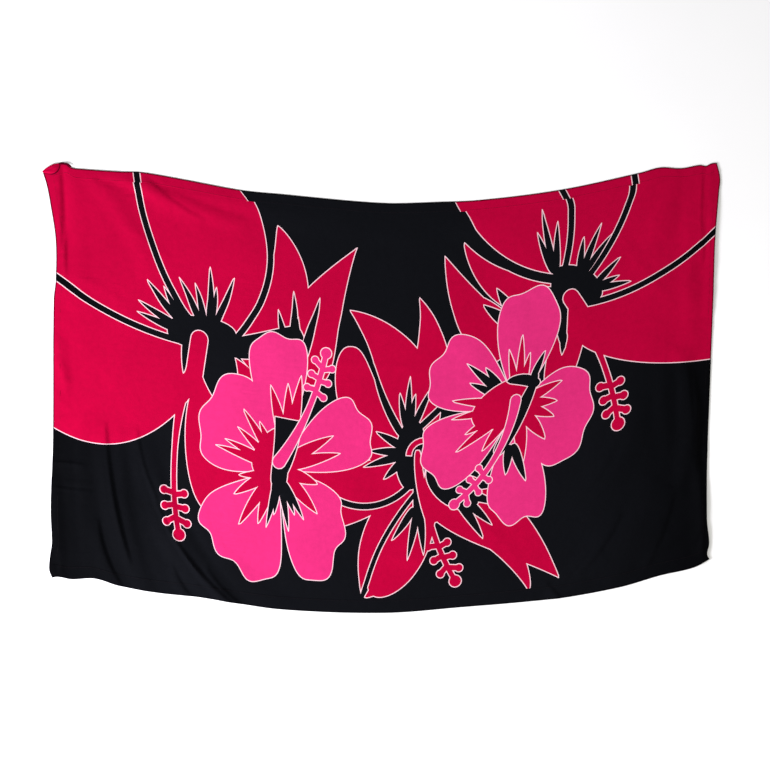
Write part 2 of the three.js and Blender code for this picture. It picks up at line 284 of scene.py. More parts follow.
# Each dye's shapes, added and cut away in turn; later dyes lie over earlier ones.
# The rows of blades are x, y, heading, bend, length, half width, root, point.
FLOWERS = [("crimson", [  # the large crimson flower at the top left
    ("add", [*blades([
        (-500, 110, 90, 0, 590, 180, 0.4, 0.46), (-480, 60, 180, 0, 610, 235, 0.85, 0.9),
        (-500, 140, 143, 0, 700, 310, 0.5, 0.3), (-460, 120, -48, 0, 260, 55, 0.8, 0.5),
        (-375, 90, 44, 66, 410, 72, 0.35, 0.8), (-240, 60, 80, -28, 410, 88, 0.25, 1.15),
        (-450, 60, 268, 8, 380, 88, 0.35, 0.35)]),
        *columns([(-500, 125, 247, 34, 500, 22, 8, 3, 27, 11.5)])]),
    ("cut", [*blades([
        (-530, 125, 176, -36, 425, 9), (-520, 180, 136, -62, 490, 9), (-430, 125, 44, 78, 520, 9),
        (-590, 155, 0, 0, 190, 45, 0.35, 0.35), (-475, 160, 288, -6, 200, 52, 0.3, 0.5),
        (-440, 125, 5, 25, 230, 34, 0.3, 0.25), (-536, 150, 266, 0, 110, 11, 0.4, 0.8)]),
        *fans([(-515, 145, 130, 168, 4, 80, 175, -8), (-475, 140, 116, 68, 5, 75, 170, 6),
            (-245, 50, 100, 72, 4, 130, 220, 8)])]),
    ("add", [blade(-498, 162, 262, 0, 150, 24, round_head=True)]),
]), ("crimson", [  # the crimson flower in the middle
    ("add", [*blades([
        (60, -150, 140, -50, 360, 62, 0.3, 0.4), (75, -90, 80, 72, 420, 82, 0.3, 0.95),
        (115, 10, 72, 45, 300, 62, 0.1, 0.95), (90, -150, 212, -30, 370, 88, 0.4, 0.1),
        (100, -200, 218, 52, 350, 40, 0.25, 0.9), (105, -215, 264, -36, 318, 72, 0.45, 0.52),
        (30, -400, 262, -50, 135, 34, 0.1, 0.8), (110, -210, -21, -32, 485, 78, 0.5, 1.05),
        (235, -290, -30, -46, 300, 44, 0.15, 0.8)]),
        *columns([(105, -110, -86, 22, 360, 16, 8, 3, 26, 11.5)])]),
    ("cut", [*blades([
        (100, -180, 240, -85, 250, 9), (105, -220, 229, 28, 350, 7),
        (56, -70, 124, -22, 215, 11, 0.1, 0.5), (95, -60, 42, 0, 100, 9),
        (90, -30, 258, 25, 190, 42, 0.4, 0.35), (140, -150, -62, 50, 175, 48, 0.4, 0.3),
        (105, -200, 268, 0, 110, 14, 0.1, 0.5)]),
        *fans([(75, -80, 106, 70, 4, 55, 145, -6), (85, -120, 148, 220, 4, 48, 125, 6),
            (105, -250, 243, 280, 3, 55, 150, -8), (190, -220, -56, 0, 4, 70, 165, -8)])]),
    ("add", blades([(76, -128, 92, -110, 76, 8), (100, -112, -88, 22, 210, 15, 0.2, 0)])),
]), ("crimson", [  # the crimson flower at the top right
    ("add", [*blades([
        (480, 300, 138, -45, 420, 112, 0.5, 0.05), (515, 290, 85, 0, 470, 135, 0.45, 0.4),
        (550, 250, 30, 0, 580, 240, 0.6, 0.4), (520, 215, -18, 25, 480, 160, 0.3, 0.02),
        (335, 130, 134, -24, 330, 58, 0.25, 0.95), (345, 195, 138, 0, 150, 26, 0.3, 0.5),
        (440, 265, 170, -56, 300, 52, 0.15, 0.9), (530, 245, 256, 0, 250, 46, 0.3, 0.3)]),
        *columns([(500, 250, -54, -26, 375, 16, 8, 3, 27, 12.5)])]),
    ("cut", [*blades([
        (490, 305, 170, -56, 390, 13), (485, 315, 75, 34, 320, 9), (555, 300, 48, 42, 360, 9),
        (540, 228, -2, 48, 420, 9), (455, 320, -4, -66, 160, 36, 0.3, 0.25),
        (478, 310, 270, 10, 200, 26, 0.05, 0.6)]),
        *fans([(470, 305, 118, 92, 3, 60, 180, -6), (530, 290, 86, 58, 3, 60, 145, -6),
            (560, 262, 40, 0, 3, 40, 100, 0), (400, 170, 148, 124, 2, 110, 175, -6),
            (495, 170, 268, 280, 1, 20, 80, 0)])]),
    ("add", [blade(496, 272, -56, -4, 130, 22, round_head=True)]),
]), ("pink", [  # the pink flower on the left
    ("add", petals(-280, -180, [
        (91, 19, 360, 0.0, 4.5, 2.6, 0.02, 0.4), (146, 45, 250, -0.2, 5.0, 3.4, 0.028, 0.5),
        (238, 37, 286, 0.14, 6.0, 3.8, 0.034, 2.2), (314, 37, 254, -0.4, 5.5, 3.4, 0.04, 0.2),
        (30, 30, 280, 0.06, 4.0, 3.0, 0.03, 1.8)])),
]), ("crimson", [
    ("add", [*blades([(-340, -200, 55, 0, 160, 48, 0.5, 0.5), (-254, -70, 90, 0, 40, 38),
            (-270, -190, 188, 0, 120, 20, 0, 0.6)]),
        *fans([(-285, -180, 164, 106, 5, 75, 160, 8), (-285, -185, 212, 250, 3, 75, 165, 8),
            (-258, -140, 104, 76, 3, 105, 200, 4), (-290, -180, 38, 20, 2, 90, 180, -6),
            (-280, -180, -14, -44, 2, 60, 135, -6)])]),
]), ("black", [
    ("add", [*blades([(-255, -40, 268, -18, 190, 38, 0.0, 0.35),
            (-270, -170, 260, 0, 80, 20, 0.2, 0.2)]),
        *fans([(-282, -190, 260, 308, 5, 45, 135, -6)])]),
]), ("pink", [
    ("add", columns([(-280, -160, 56, 22, 310, 18, 8, 3, 25, 10.5)])),
]), ("pink", [  # the pink flower on the right
    ("add", petals(370, -15, [
        (83, 31, 312, 0.0, 2.7, 3.0, 0.03, 2.8), (148, 34, 265, -0.04, 4.5, 3.2, 0.028, 0.4),
        (209, 30, 285, 0.06, 3.8, 3.0, 0.03, 2.0), (271, 25, 315, 0.04, 3.4, 3.0, 0.035, 2.8),
        (-17, 57, 212, -0.1, 5.0, 4.0, 0.028, 0.6)])),
]), ("black", [
    ("add", fans([(345, 0, 150, 118, 3, 70, 140, 6)])),
]), ("crimson", [
    ("add", [*blades([(250, -50, 28, 0, 190, 55, 0.45, 0.45)]),
        *fans([(370, -10, 100, 72, 3, 75, 165, 4), (370, -15, 170, 228, 5, 85, 175, 6),
            (370, -15, 26, -24, 3, 55, 118, -6), (372, -20, -52, -80, 2, 60, 150, -6)])]),
]), ("black", [
    ("add", [*blades([(340, 52, 12, -50, 95, 16, 0.5, 0.3),
            (425, 65, 248, -12, 235, 19, 0.5, 0.25)]),
        *fans([(355, -100, 262, 286, 2, 50, 120, 4),
            (405, 40, 64, 64, 1, 25, 80, 0)])]),
]), ("pink", [
    ("add", columns([(366, 0, 262, -44, 300, 15, 8, 3, 22, 10)])),
])]


FAR = 1e3  # stands for any distance past the margin round an outline
CHUNK = 4000  # points worked on at once


def signed_distance(points, outline, margin=14.0):
    """Distance from each point to the outline in millimetres, negative inside."""
    result = np.full(len(points), FAR)
    near = within(points, outline.min(0) - margin, outline.max(0) + margin)
    spots = points[near]
    ends = np.roll(outline, -1, axis=0)
    edge = ends - outline
    square = np.maximum((edge ** 2).sum(1), 1e-9)
    found = np.empty(len(spots))
    for first in range(0, len(spots), CHUNK):
        part = spots[first:first + CHUNK]
        to_x, to_y = (part[:, axis, None] - outline[None, :, axis] for axis in (0, 1))
        t = np.clip((to_x * edge[:, 0] + to_y * edge[:, 1]) / square, 0, 1)
        away = np.hypot(to_x - t * edge[:, 0], to_y - t * edge[:, 1]).min(1)
        above = outline[None, :, 1] > part[:, 1, None]
        crosses = above != (ends[None, :, 1] > part[:, 1, None])
        rise = np.where(edge[:, 1] == 0, 1e-9, edge[:, 1])
        right_of = to_x < edge[:, 0] * to_y / rise
        inside = (crosses & right_of).sum(1) % 2 == 1
        found[first:first + CHUNK] = np.where(inside, -away, away)
    result[near] = found
    return result


def group_distance(points, steps):
    """Signed distance to one colour's shapes, added and cut away in turn."""
    result = np.full(len(points), FAR)
    for what, shapes in steps:
        for outline in shapes:
            one = signed_distance(points, outline)
            result = np.minimum(result, one) if what == "add" else np.maximum(result, -one)
    return result


def dye_names(points):
    """The dye at each point of the cut, as numbers into DYE_ORDER."""
    result = np.zeros(len(points), int)
    for dye, steps in FLOWERS:
        away = group_distance(points, steps)
        result[away < -LINE_HALF] = DYE_ORDER.index(dye)
        result[np.abs(away) <= LINE_HALF] = DYE_ORDER.index("line")
    return result


# ---- The laid-out cloth ----


def edge_value(edge, place):
    """The other coordinate of a laid-out edge at each place along it."""
    rows = np.array(edge, float)
    return cubic_through(rows[:, 0], rows[:, 1:], place)[:, 0]


SAG_DEGREE = 4  # of the polynomial that is a long edge's broad sag
BUMP_FALL = 8  # its small bumps die away inward by this power, and its sag evenly


def plan(cut):
    """Where points of the flat cut lie on the table: the four edges blended into one sheet."""
    u = (cut[:, 0] + HALF_WIDTH) / CUT_WIDTH
    v = (cut[:, 1] + HALF_HEIGHT) / CUT_HEIGHT

    def between_long_edges(across):
        total = np.zeros((len(cut), 2))
        for edge, nearness in ((BOTTOM_EDGE, 1 - v), (TOP_EDGE, v)):
            x = edge[0][0] + (edge[-1][0] - edge[0][0]) * across
            sag = np.polyval(np.polyfit(*np.array(edge, float).T, SAG_DEGREE), x)
            bumps = edge_value(edge, x) - sag
            total += beside(nearness * x, nearness * sag + nearness ** BUMP_FALL * bumps)
        return total

    def short_edge(edge):
        y = edge[0][0] + (edge[-1][0] - edge[0][0]) * v
        return beside(edge_value(edge, y), y)

    from_left = short_edge(LEFT_EDGE) - between_long_edges(0 * u)
    from_right = short_edge(RIGHT_EDGE) - between_long_edges(0 * u + 1)
    return between_long_edges(u) + (1 - u)[:, None] * from_left + u[:, None] * from_right


def fold_height(spots, rows):
    """Soft ridges along bowed lines, or troughs where the rise is negative."""
    height = np.zeros(len(spots))
    for from_x, from_y, to_x, to_y, bow, reach, rise, *short_reach in rows:
        along_x, along_y = to_x - from_x, to_y - from_y
        length = math.hypot(along_x, along_y)
        away_x, away_y = spots[:, 0] - from_x, spots[:, 1] - from_y
        t = np.clip((away_x * along_x + away_y * along_y) / length ** 2, 0, 1)
        middle = 4 * t * (1 - t)
        aside = (away_y * along_x - away_x * along_y) / length - bow * middle
        side = np.where(aside > 0, short_reach[0], reach) if short_reach else reach
        across = np.maximum(0, 1 - (aside / side) ** 2)
        height += rise * np.sqrt(middle) * across ** 2
    return height


STEEP_MARGIN = 8  # the finer mesh reaches this far past a steep fold's short side


def steep_near(spots):
    """True where a steep fold falls away, for the finer mesh."""
    rows = [(*row[:5], row[7] + STEEP_MARGIN, 1) for row in STEEP_FOLDS]
    return fold_height(spots, rows) > 0.05


def waves(spots, seed, count, longest, shortest, height):
    """Uneven soft swells: seeded waves of many lengths and directions."""
    chance = np.random.default_rng(seed)
    total = np.zeros(len(spots))
    for _ in range(count):
        length = math.exp(chance.uniform(math.log(shortest), math.log(longest)))
        turn = chance.uniform(0, 2 * math.pi)
        phase = chance.uniform(0, 2 * math.pi)
        along = spots[:, 0] * math.cos(turn) + spots[:, 1] * math.sin(turn)
        side = spots[:, 1] * math.cos(turn) - spots[:, 0] * math.sin(turn)
        bend = 0.35 * length * np.sin(side * 2 * math.pi / (length * 2.7) + phase * 2)
        total += np.sin((along + bend) * 2 * math.pi / length + phase)
    return height * total / math.sqrt(count)


REST_HEIGHT = 0.8  # of the underside above the table, on average
MAIN_SHARE = 0.75  # of the main folds' rise
SWELLS = (11, 14, 420, 150, 0.75)  # seed, count, longest, shortest, height
PUCKERS = (5, 16, 90, 34, 0.38)  # mostly near the short edges
RIPPLES = (23, 18, 40, 17, 0.09)
PUCKER_REACH = 420  # from a short edge inward
MIDDLE_SHARE = 0.25  # of the puckers, in the middle of the cloth
SETTLING = 0.6  # rounds the underside off where it would sink below the table


def cloth_height(spots):
    """How high the underside lies above the table, in millimetres."""
    height = (MAIN_SHARE * fold_height(spots, MAIN_FOLDS) + fold_height(spots, SMALL_CREASES)
              + fold_height(spots, STEEP_FOLDS))
    height += REST_HEIGHT + waves(spots, *SWELLS)
    near_end = np.clip(1 - (HALF_WIDTH - np.abs(spots[:, 0])) / PUCKER_REACH, 0, 1) ** 2
    height += (MIDDLE_SHARE + (1 - MIDDLE_SHARE) * near_end) * waves(spots, *PUCKERS)
    height += waves(spots, *RIPPLES)
    return (height + np.sqrt(height ** 2 + SETTLING)) / 2


def bell(away, half):
    """1 where away is 0, falling softly to both sides."""
    return np.exp(-(away / half) ** 2)


def seam_pucker(along, pitch, phase, sway, stretch):
    """Puckers along a seam at an uneven pitch, from -1 to 1."""
    return np.sin(along * 2 * math.pi / pitch + phase + sway * np.sin(along / stretch))


PRESSED_SHARE = 0.6  # of its height that the cloth loses at its top edge
PRESSED_REACH = 16


def pressed(from_top):
    """The share of its height that the cloth keeps: it lies closer to the table at its top edge."""
    return 1 - PRESSED_SHARE * bell(from_top, PRESSED_REACH)


SIDE_RISE = 0.7  # of the side hems over the panel, over a soft step
SIDE_STEP = 0.8
SIDE_DENT = 0.35  # along their seams


def hem_relief(cut):
    """The side hems stand a little above the panel, with a dent along their seams, and pucker."""
    relief = np.zeros(len(cut))
    for inward, width, phase in ((cut[:, 0] + HALF_WIDTH, LEFT_HEM, 0.0),
                                 (HALF_WIDTH - cut[:, 0], RIGHT_HEM, 2.0)):
        from_seam = inward - width
        relief += SIDE_RISE / (1 + np.exp(np.minimum(from_seam / SIDE_STEP, 60)))
        relief -= SIDE_DENT * bell(from_seam + 2.0, 1.6)
        relief += 0.22 * seam_pucker(cut[:, 1], 23, phase, 2, 61) * bell(from_seam, 9)
    return relief


def placed(spots, height):
    """Blender points, in metres, from the table's plan and heights in millimetres."""
    return beside(spots[:, 0] + CENTRING[0], spots[:, 1] + CENTRING[1], height) * MM


# ---- Meshes ----


ROUND_FROM = 0.7  # radians: an outer corner that turns more is rounded
ROUND_STEP = 0.6
LEAST_MITRE = 0.12  # keeps the mitre of a sharp inner corner short
LINE_TOLERANCE = 0.4  # how far a piece of a moved outline may be from the line's side


def offset_lines(outline, away):
    """The outline moved outward by away, or inward where it is negative, round at its corners."""
    area = 0.5 * np.sum(outline[:, 0] * np.roll(outline[:, 1], -1)
                        - outline[:, 1] * np.roll(outline[:, 0], -1))
    if area < 0:
        outline = outline[::-1]
    step = np.roll(outline, -1, axis=0) - outline
    size = np.hypot(*step.T)
    outline, step = outline[size > 1e-6], step[size > 1e-6]
    way = step / np.hypot(*step.T)[:, None]
    normal = -left_of(way)
    before = np.roll(normal, 1, axis=0)
    cosine = (before * normal).sum(1)
    turn = np.arctan2(before[:, 0] * normal[:, 1] - before[:, 1] * normal[:, 0], cosine)
    points = []
    for spot, first, second, cos_turn, angle in zip(outline, before, normal, cosine, turn):
        if angle * away > 0 and abs(angle) > ROUND_FROM:
            count = max(2, int(abs(angle) / ROUND_STEP))
            start = math.atan2(first[1], first[0])
            points += [spot + away * np.array([math.cos(start + angle * k / count),
                                               math.sin(start + angle * k / count)])
                       for k in range(count + 1)]
        else:
            points.append(spot + away * (first + second) / max(1 + cos_turn, LEAST_MITRE))
    return np.array(points)


def print_lines(low, high):
    """Both sides of every pale line of the print that shows within a box, as short segments."""
    kept = []
    for number, (_, steps) in enumerate(FLOWERS):
        starts, ends = [], []
        for _, shapes in steps:
            for outline in shapes:
                for away in (-LINE_HALF, LINE_HALF):
                    starts.append(offset_lines(outline, away))
                    ends.append(np.roll(starts[-1], -1, axis=0))
        starts, ends = np.concatenate(starts), np.concatenate(ends)
        inside = np.all((np.maximum(starts, ends) > low) & (np.minimum(starts, ends) < high), axis=1)
        starts, ends = starts[inside], ends[inside]
        count = len(starts)
        if not count:
            continue
        samples = np.concatenate([starts, (starts + ends) / 2, ends])
        off_side = np.abs(np.abs(group_distance(samples, steps)) - LINE_HALF)
        right_place = off_side < LINE_TOLERANCE
        for _, later in FLOWERS[number + 1:]:
            right_place &= group_distance(samples, later) > -LINE_HALF
        good = right_place[:count] | right_place[count:2 * count] | right_place[2 * count:]
        kept.append(np.stack([starts[good], ends[good]], axis=1))
    return np.concatenate(kept) if kept else np.zeros((0, 2, 2))


def level(x, y):
    """Points along a level line at these x."""
    return beside(x, np.full(len(x), y))


def even_field(low, high, spacing):
    """An even field of points in a box, in staggered rows."""
    rows = np.arange(low[1] + spacing * 0.6, high[1] - spacing * 0.3, spacing * 0.866)
    right = high[0] - spacing * 0.3
    starts = [low[0] + spacing * (0.5 + 0.5 * (number % 2)) for number in range(len(rows))]
    return np.concatenate([level(np.arange(start, right, spacing), y) for start, y in zip(starts, rows)])


def clear_of(points, taken, low, high, clearance):
    """The points that keep the clearance from the ones already taken."""
    size = ((high - low) / clearance).astype(int) + 3
    used = np.zeros(size, bool)
    spots = ((taken - low) / clearance).astype(int) + 1
    spots = spots[within(spots, 0, size - 1)]
    for dx in (-1, 0, 1):
        for dy in (-1, 0, 1):
            used[spots[:, 0] + dx, spots[:, 1] + dy] = True
    cells = ((points - low) / clearance).astype(int) + 1
    return points[~used[cells[:, 0], cells[:, 1]]]


FIELD_SPACING = 10.5  # between the mesh's points on the panel
HEM_SPACING = 7.0
FOLD_SPACING = 4.6  # near the steep folds
MERGED = 0.12  # points closer together than this become one
LEAST_AREA = 1e-4  # slivers under half this many square millimetres are left out


def triangulated(low, high, spacing, print_shift=0, extra_rows=()):
    """Triangles over a box of the print, with edges along its pale lines, finer at the steep folds."""
    low, high = np.array(low, float), np.array(high, float)
    segments = print_lines(low, high)
    steps = np.maximum(((high - low) / (spacing * 0.9)).astype(int), 2)
    xs, ys = np.linspace(low[0], high[0], steps[0] + 1), np.linspace(low[1], high[1], steps[1] + 1)
    border = np.concatenate([
        level(xs[:-1], low[1]), level(ys[:-1], high[0])[:, ::-1],
        level(xs[:0:-1], high[1]), level(ys[:0:-1], low[0])[:, ::-1]])
    lined = segments.reshape(-1, 2)
    inside_lines = lined[within(lined, low, high)]
    rows = [level(xs[1:-1], y) for y in extra_rows]
    fixed = np.concatenate([border, inside_lines, *rows])
    fine = even_field(low, high, FOLD_SPACING)
    fine = fine[steep_near(plan(fine - [0, print_shift]))]
    fine = clear_of(fine, fixed, low, high, FOLD_SPACING * 0.5)
    field = even_field(low, high, spacing)
    field = clear_of(field, np.concatenate([fixed, fine]), low, high, spacing * 0.42)
    loose = np.concatenate([*rows, fine, field])
    coords = np.concatenate([border, lined, loose])
    edges = [(i, (i + 1) % len(border)) for i in range(len(border))]
    edges += [(len(border) + 2 * i, len(border) + 2 * i + 1) for i in range(len(segments))]
    found = delaunay_2d_cdt([tuple(p) for p in coords], edges, [], 0, MERGED, False)
    spots = np.array([tuple(p) for p in found[0]])
    triangles = np.array([tuple(f) for f in found[2]])
    corners = spots[triangles]
    middle = corners.mean(1)
    side_a, side_b = corners[:, 1] - corners[:, 0], corners[:, 2] - corners[:, 0]
    area = side_a[:, 0] * side_b[:, 1] - side_a[:, 1] * side_b[:, 0]
    inside = within(middle, low, high) & (np.abs(area) > LEAST_AREA)
    triangles = np.where((area < 0)[:, None], triangles[:, ::-1], triangles)[inside]
    used, triangles = np.unique(triangles, return_inverse=True)
    return np.clip(spots[used], low, high), triangles.reshape(-1, 3), middle[inside]


BLACK_PAINTED_SHADE = 0.6  # painted shade: how much of its light the black loses near the short edges
BLACK_PAINTED_SHADE_REACH = 320
BACK_SHARE = 0.72  # the back is paler and duller than the face
BACK_PALENESS = 0.012
SHARP_ANGLE = 50


def dyed(face_dyes, from_edge):
    """The faces' colours, with painted shade darkening the black near the short edges."""
    front = np.array(list(DYES.values()))[face_dyes]
    is_black = face_dyes == DYE_ORDER.index("black")
    painted_darkening = BLACK_PAINTED_SHADE * np.clip(1 - from_edge / BLACK_PAINTED_SHADE_REACH, 0, 1) * is_black
    return front * (1 - painted_darkening)[:, None]


def bake_map(on_cut, is_back):
    """The cut laid into the unit square twice: its back in the lowest fifth, its face above."""
    share = (on_cut + [HALF_WIDTH, HALF_HEIGHT]) / [CUT_WIDTH, CUT_HEIGHT]
    upward = np.where(is_back, 0.005 + 0.18 * share[:, 1], 0.2 + 0.795 * share[:, 1])
    return beside(0.01 + 0.98 * share[:, 0], upward)


def add_object(name, data, place=(0, 0, 0), turn=(0, 0, 0)):
    thing = bpy.data.objects.new(name, data)
    thing.location = place
    thing.rotation_euler = turn
    bpy.context.scene.collection.objects.link(thing)
    return thing


def add_piece(name, points, faces, material):
    """A smooth-shaded object from points and faces."""
    mesh = bpy.data.meshes.new(name)
    mesh.from_pydata(points, [], faces)
    mesh.materials.append(material)
    mesh.update()
    mesh.shade_smooth()
    return add_object(name, mesh)


def shell(name, upper, lower, triangles, face_dyes, cut, material):
    """A closed thin shell from matching upper and lower points, with its dye and its maps."""
    count = len(upper)
    sides = np.concatenate([triangles[:, [0, 1]], triangles[:, [1, 2]], triangles[:, [2, 0]]])
    keys = np.minimum(sides[:, 0], sides[:, 1]) * count + np.maximum(sides[:, 0], sides[:, 1])
    _, first, times = np.unique(keys, return_index=True, return_counts=True)
    rim_edge = first[times == 1]
    rim = sides[rim_edge]
    rim_face = rim_edge % len(triangles)
    walls = beside(rim[:, 1], rim[:, 0], rim[:, 0] + count, rim[:, 1] + count)
    faces = triangles.tolist() + (triangles[:, ::-1] + count).tolist() + walls.tolist()
    piece = add_piece(name, np.concatenate([upper, lower]).tolist(), faces, material)
    mesh = piece.data
    front = dyed(face_dyes, HALF_WIDTH - np.abs(cut[triangles, 0].mean(1)))
    back = front * BACK_SHARE + BACK_PALENESS
    colours = np.concatenate([np.repeat(front, 3, axis=0), np.repeat(back, 3, axis=0),
                              np.repeat(front[rim_face], 4, axis=0)])
    dye = mesh.color_attributes.new("dye", "FLOAT_COLOR", "CORNER")
    dye.data.foreach_set("color", beside(colours, np.ones(len(colours))).ravel())
    wall_corners = beside(rim[:, 1], rim[:, 0], rim[:, 0], rim[:, 1])
    corners = np.concatenate([triangles.ravel(), triangles[:, ::-1].ravel(), wall_corners.ravel()])
    on_cut = cut[corners]
    is_back = np.zeros(len(corners), bool)
    is_back[len(triangles) * 3:len(triangles) * 6] = True
    mesh.uv_layers.new(name="weave").data.foreach_set("uv", (on_cut * MM).ravel())
    mesh.uv_layers.new(name="OFBake").data.foreach_set("uv", bake_map(on_cut, is_back).ravel())
    mesh.set_sharp_from_angle(angle=math.radians(SHARP_ANGLE))
    return piece


# ---- Materials: the weave map is in metres of the cut ----
WAVE_LENGTH = 0.314  # metres between the bands of a wave texture of scale 1
WEAVE_PITCH = 0.0007
PAINTED_EDGE_SHADE_SPAN = (4.0, 2.0)  # from here to here, inside the cut's edge, painted shade darkens the cloth in a thin line
PAINTED_EDGE_SHADE = 0.25


def add(tree, kind, inputs, **settings):
    """A new node: its settings, its plain inputs set and its other inputs linked."""
    node = tree.nodes.new(kind)
    for name, value in settings.items():
        setattr(node, name, value)
    for name, value in inputs.items():
        if isinstance(value, bpy.types.NodeSocket):
            tree.links.new(value, node.inputs[name])
        else:
            node.inputs[name].default_value = value
    return node


def new_material(name):
    material = bpy.data.materials.new(name)
    material.use_nodes = True
    tree = material.node_tree
    tree.nodes.clear()
    shader = tree.nodes.new("ShaderNodeBsdfPrincipled")
    add(tree, "ShaderNodeOutputMaterial", {"Surface": shader.outputs["BSDF"]})
    return material, tree, shader


def noise(tree, vector, scale, detail=3.0, roughness=0.55):
    inputs = {"Vector": vector, "Scale": scale, "Detail": detail, "Roughness": roughness}
    return add(tree, "ShaderNodeTexNoise", inputs).outputs["Fac"]


def remapped(tree, value, low, high, start=0.3, end=0.7):
    inputs = {"Value": value, "From Min": start, "From Max": end, "To Min": low, "To Max": high}
    return add(tree, "ShaderNodeMapRange", inputs).outputs["Result"]


def calculated(tree, operation, first, second):
    return add(tree, "ShaderNodeMath", {0: first, 1: second}, operation=operation).outputs["Value"]


def ramped(tree, value, low, high):
    ramp = add(tree, "ShaderNodeValToRGB", {"Fac": value})
    for element, colour in zip(ramp.color_ramp.elements, (low, high)):
        element.color = (*colour, 1)
    return ramp.outputs["Color"]


def bumped(tree, height, strength, distance, below=None):
    """The surface's normal with a bump, over the bumps below it."""
    inputs = {"Height": height, "Strength": strength, "Distance": distance}
    if below is not None:
        inputs["Normal"] = below
    return add(tree, "ShaderNodeBump", inputs).outputs["Normal"]


def thread_waves(tree, vector, direction, pitch):
    inputs = {"Vector": vector, "Scale": WAVE_LENGTH / pitch, "Distortion": 0.8, "Detail": 1.0,
              "Detail Scale": 0.4}
    return add(tree, "ShaderNodeTexWave", inputs, wave_type="BANDS", wave_profile="SIN",
               bands_direction=direction).outputs["Fac"]


def cloth_shade(tree, spot, weave):
    """How light the dye is: uneven broadly and finely, and darkened by painted shade in a thin line along
    the cut's edges.
    """
    parts = [remapped(tree, noise(tree, spot, 5.0), 0.94, 1.06),
             remapped(tree, noise(tree, spot, 70.0, 4.0), 0.955, 1.045),
             remapped(tree, noise(tree, spot, 900.0, 2.0), 0.93, 1.07),
             remapped(tree, weave, 0.90, 1.08, 0.0, 2.0)]
    split = add(tree, "ShaderNodeSeparateXYZ", {"Vector": spot})
    # painted shade: a thin dark line along the cut's edges
    for axis, half in (("X", HALF_WIDTH), ("Y", HALF_HEIGHT)):
        outward = calculated(tree, "ABSOLUTE", split.outputs[axis], 0.0)
        start, end = [(half - inset) * MM for inset in PAINTED_EDGE_SHADE_SPAN]
        parts.append(remapped(tree, outward, 1.0, PAINTED_EDGE_SHADE, start, end))
    shade = parts[0]
    for part in parts[1:]:
        shade = calculated(tree, "MULTIPLY", shade, part)
    return shade


def cloth_normal(tree, spot, weave):
    """Crumple all over, pressed wrinkles in patches, and threads."""
    crumple = bumped(tree, noise(tree, spot, 46.0, 4.0, 0.5), 0.55, 0.0012)
    stretch = add(tree, "ShaderNodeMapping",
                  {"Vector": spot, "Scale": (11.0, 120.0, 1.0), "Rotation": (0.0, 0.0, 0.06)})
    lines = noise(tree, stretch.outputs["Vector"], 1.0, 2.0, 0.5)
    patches = remapped(tree, noise(tree, spot, 6.5, 2.0), -1.0, 1.0)
    patches = calculated(tree, "MAXIMUM", patches, 0.0)
    wrinkles = bumped(tree, calculated(tree, "MULTIPLY", lines, patches), 0.6, 0.0016, crumple)
    return bumped(tree, weave, 0.5, 0.00016, wrinkles)


def cloth_material(name, roughness):
    """Printed plain-weave rayon: dyed colour a little uneven, fine threads, wrinkles and low sheen."""
    material, tree, shader = new_material(name)
    spot = add(tree, "ShaderNodeUVMap", {}, uv_map="weave").outputs["UV"]
    dye = add(tree, "ShaderNodeVertexColor", {}, layer_name="dye")
    weave = calculated(tree, "ADD", thread_waves(tree, spot, "X", WEAVE_PITCH),
                       thread_waves(tree, spot, "Y", WEAVE_PITCH * 1.12))
    tint = add(tree, "ShaderNodeVectorMath",
               {0: dye.outputs["Color"], "Scale": cloth_shade(tree, spot, weave)}, operation="SCALE")
    rough = remapped(tree, noise(tree, spot, 40.0), roughness - 0.05, roughness + 0.06)
    tree.links.new(tint.outputs["Vector"], shader.inputs["Base Color"])
    tree.links.new(rough, shader.inputs["Roughness"])
    tree.links.new(cloth_normal(tree, spot, weave), shader.inputs["Normal"])
    shader.inputs["Specular IOR Level"].default_value = 0.012
    shader.inputs["Sheen Weight"].default_value = 0.006
    shader.inputs["Sheen Roughness"].default_value = 0.45
    shader.inputs["Sheen Tint"].default_value = (1.0, 0.62, 0.76, 1.0)
    return material


def thread_material():
    """Dark sewing thread with a fine twist."""
    material, tree, shader = new_material("sewing_thread")
    spot = tree.nodes.new("ShaderNodeTexCoord").outputs["Object"]
    colour = ramped(tree, noise(tree, spot, 300.0, 2.0), (0.003, 0.002, 0.003), (0.010, 0.003, 0.005))
    twist = bumped(tree, noise(tree, spot, 2500.0, 2.0), 0.4, 0.0001)
    tree.links.new(colour, shader.inputs["Base Color"])
    tree.links.new(twist, shader.inputs["Normal"])
    shader.inputs["Roughness"].default_value = 0.55
    shader.inputs["Specular IOR Level"].default_value = 0.08
    return material


def floor_material():
    """A plain pale floor, hardly uneven."""
    material, tree, shader = new_material("pale_floor")
    spot = tree.nodes.new("ShaderNodeTexCoord").outputs["Object"]
    colour = ramped(tree, noise(tree, spot, 3.0, 2.0), (0.80, 0.80, 0.80), (0.83, 0.83, 0.83))
    tree.links.new(colour, shader.inputs["Base Color"])
    shader.inputs["Roughness"].default_value = 0.8
    shader.inputs["Specular IOR Level"].default_value = 0.1
    return material


printed = cloth_material("printed_rayon", 0.68)
hemmed = cloth_material("hemmed_rayon", 0.74)

# ---- The pieces ----
TOP_SEAM = HALF_HEIGHT - TOP_HEM
BOTTOM_SEAM = BOTTOM_HEM - HALF_HEIGHT


def make_panel():
    """The whole cut with its side hems: it runs on under the long hems' bands as their back."""
    cut, triangles, middle = triangulated((-HALF_WIDTH, -HALF_HEIGHT), (HALF_WIDTH, HALF_HEIGHT),
                                          FIELD_SPACING)
    spots = plan(cut)
    base = cloth_height(spots) * pressed(HALF_HEIGHT - cut[:, 1])
    upper = base + CLOTH_WALL + np.maximum(hem_relief(cut), -0.3)
    return shell("body_panel_cloth", placed(spots, upper), placed(spots, base), triangles,
                 dye_names(middle), cut, printed)


